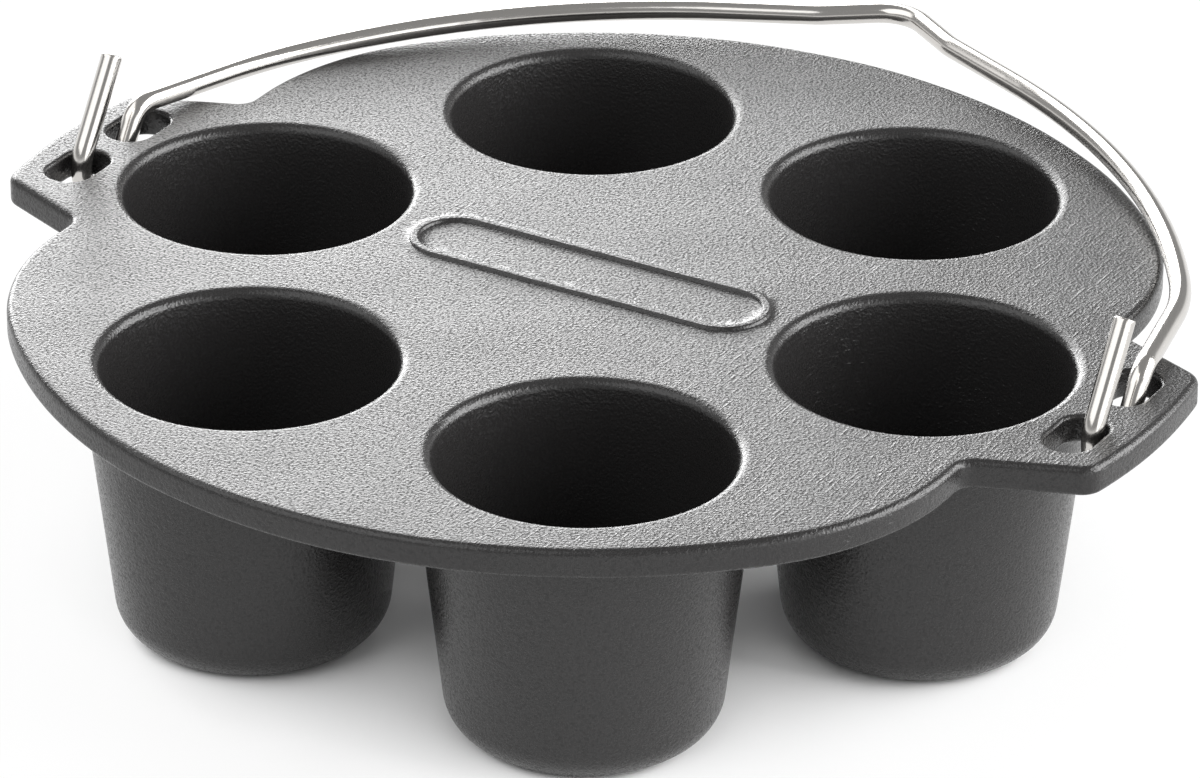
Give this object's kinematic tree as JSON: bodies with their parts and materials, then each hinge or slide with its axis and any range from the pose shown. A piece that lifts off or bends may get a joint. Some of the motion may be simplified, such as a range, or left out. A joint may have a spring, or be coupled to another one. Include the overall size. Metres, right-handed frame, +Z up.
{
  "type": "muffin pan",
  "caption": "Round cast-iron muffin pan: deep tapered cups hang from a flat plate with slotted ears, which carry a folding steel wire bail with a hook kink.",
  "frame": {"origin": "middle of the plate's flat top face, on the axis that the cups stand round", "axes": "+Z up out of the cups, +X to the right-hand ear along the bail's hinge line, +Y to the rear, where the folded bail lies"},
  "size_m": [0.3, 0.2952, 0.0929],
  "materials": {
    "cast_iron": "sand-cast and oil-seasoned, fine satin grain",
    "steel_wire": "bright drawn stainless wire, nearly mirror-like"
  },
  "bodies": {
    "pan": {"pan_casting": "cast_iron"},
    "bail": {"bail": "steel_wire"}
  },
  "joints": [
    {"name": "bail_swing", "type": "hinge", "parent": "pan", "child": "bail", "pos_m": [0, 0, -0.0035], "axis": [1, 0, 0], "range_deg": [0, 82]}
  ]
}
